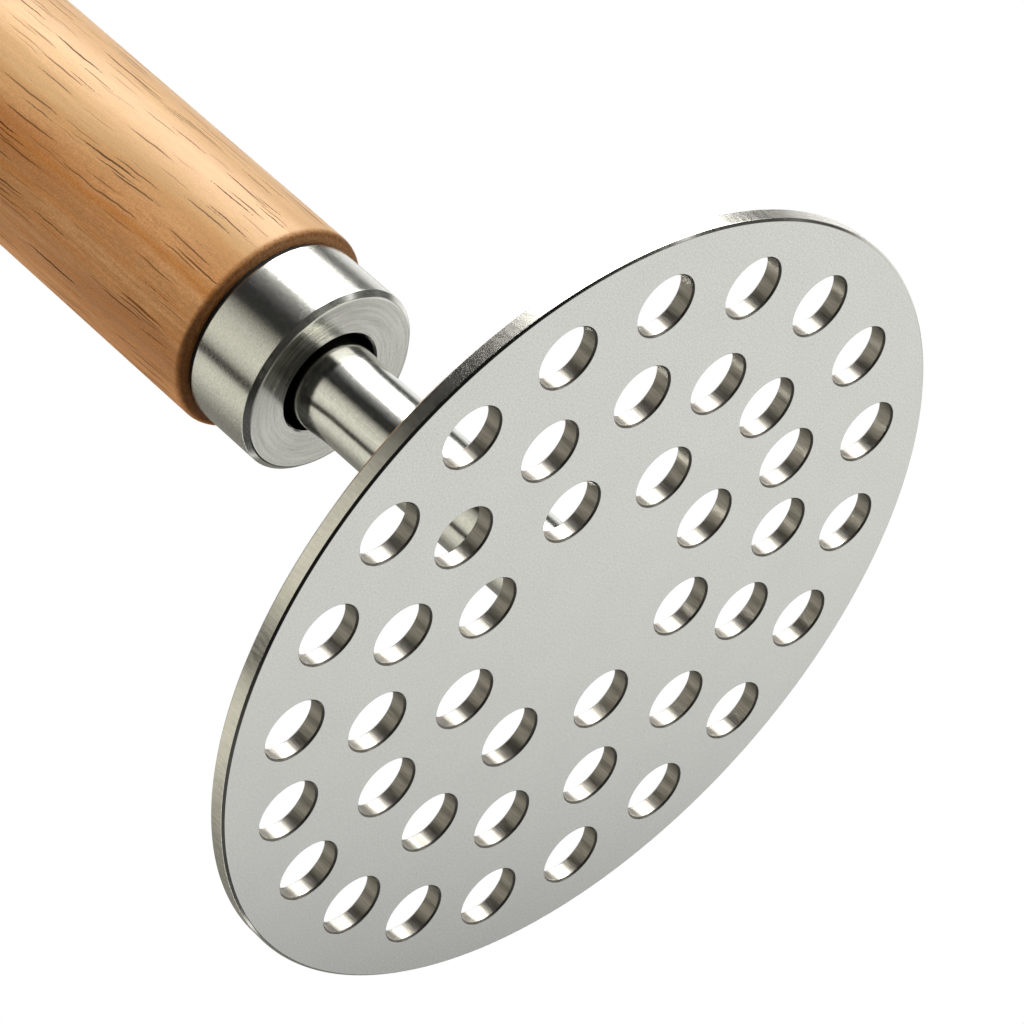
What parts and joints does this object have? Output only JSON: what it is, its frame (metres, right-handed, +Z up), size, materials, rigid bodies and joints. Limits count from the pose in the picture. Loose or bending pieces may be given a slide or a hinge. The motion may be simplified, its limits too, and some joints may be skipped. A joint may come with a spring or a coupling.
{
  "type": "potato masher",
  "caption": "Hand masher with a round perforated steel disc on a short steel stem, a steel ferrule and a straight round wooden handle.",
  "frame": {"origin": "centre of the disc's underside, the flat face that the masher stands on", "axes": "+Z up the stem and the handle, square to the disc; +X and +Y lie in the disc's underside"},
  "size_m": [0.09, 0.09, 0.24],
  "materials": {
    "plate_steel": "satin, finely brushed",
    "weld_steel": "dressed weld",
    "stem_steel": "turned and polished lengthwise",
    "ferrule_steel": "satin turned, concentric marks on its face",
    "seal_rubber": "matt black",
    "stud_steel": "plain",
    "insert_brass": "plain",
    "handle_wood": "oiled beech, satin"
  },
  "bodies": {
    "root": {"mashing_plate": "plate_steel", "stem_weld": "weld_steel", "stem": "stem_steel", "ferrule": "ferrule_steel", "seal_washer": "seal_rubber", "tie_stud": "stud_steel", "threaded_insert": "insert_brass", "handle": "handle_wood"}
  },
  "joints": []
}
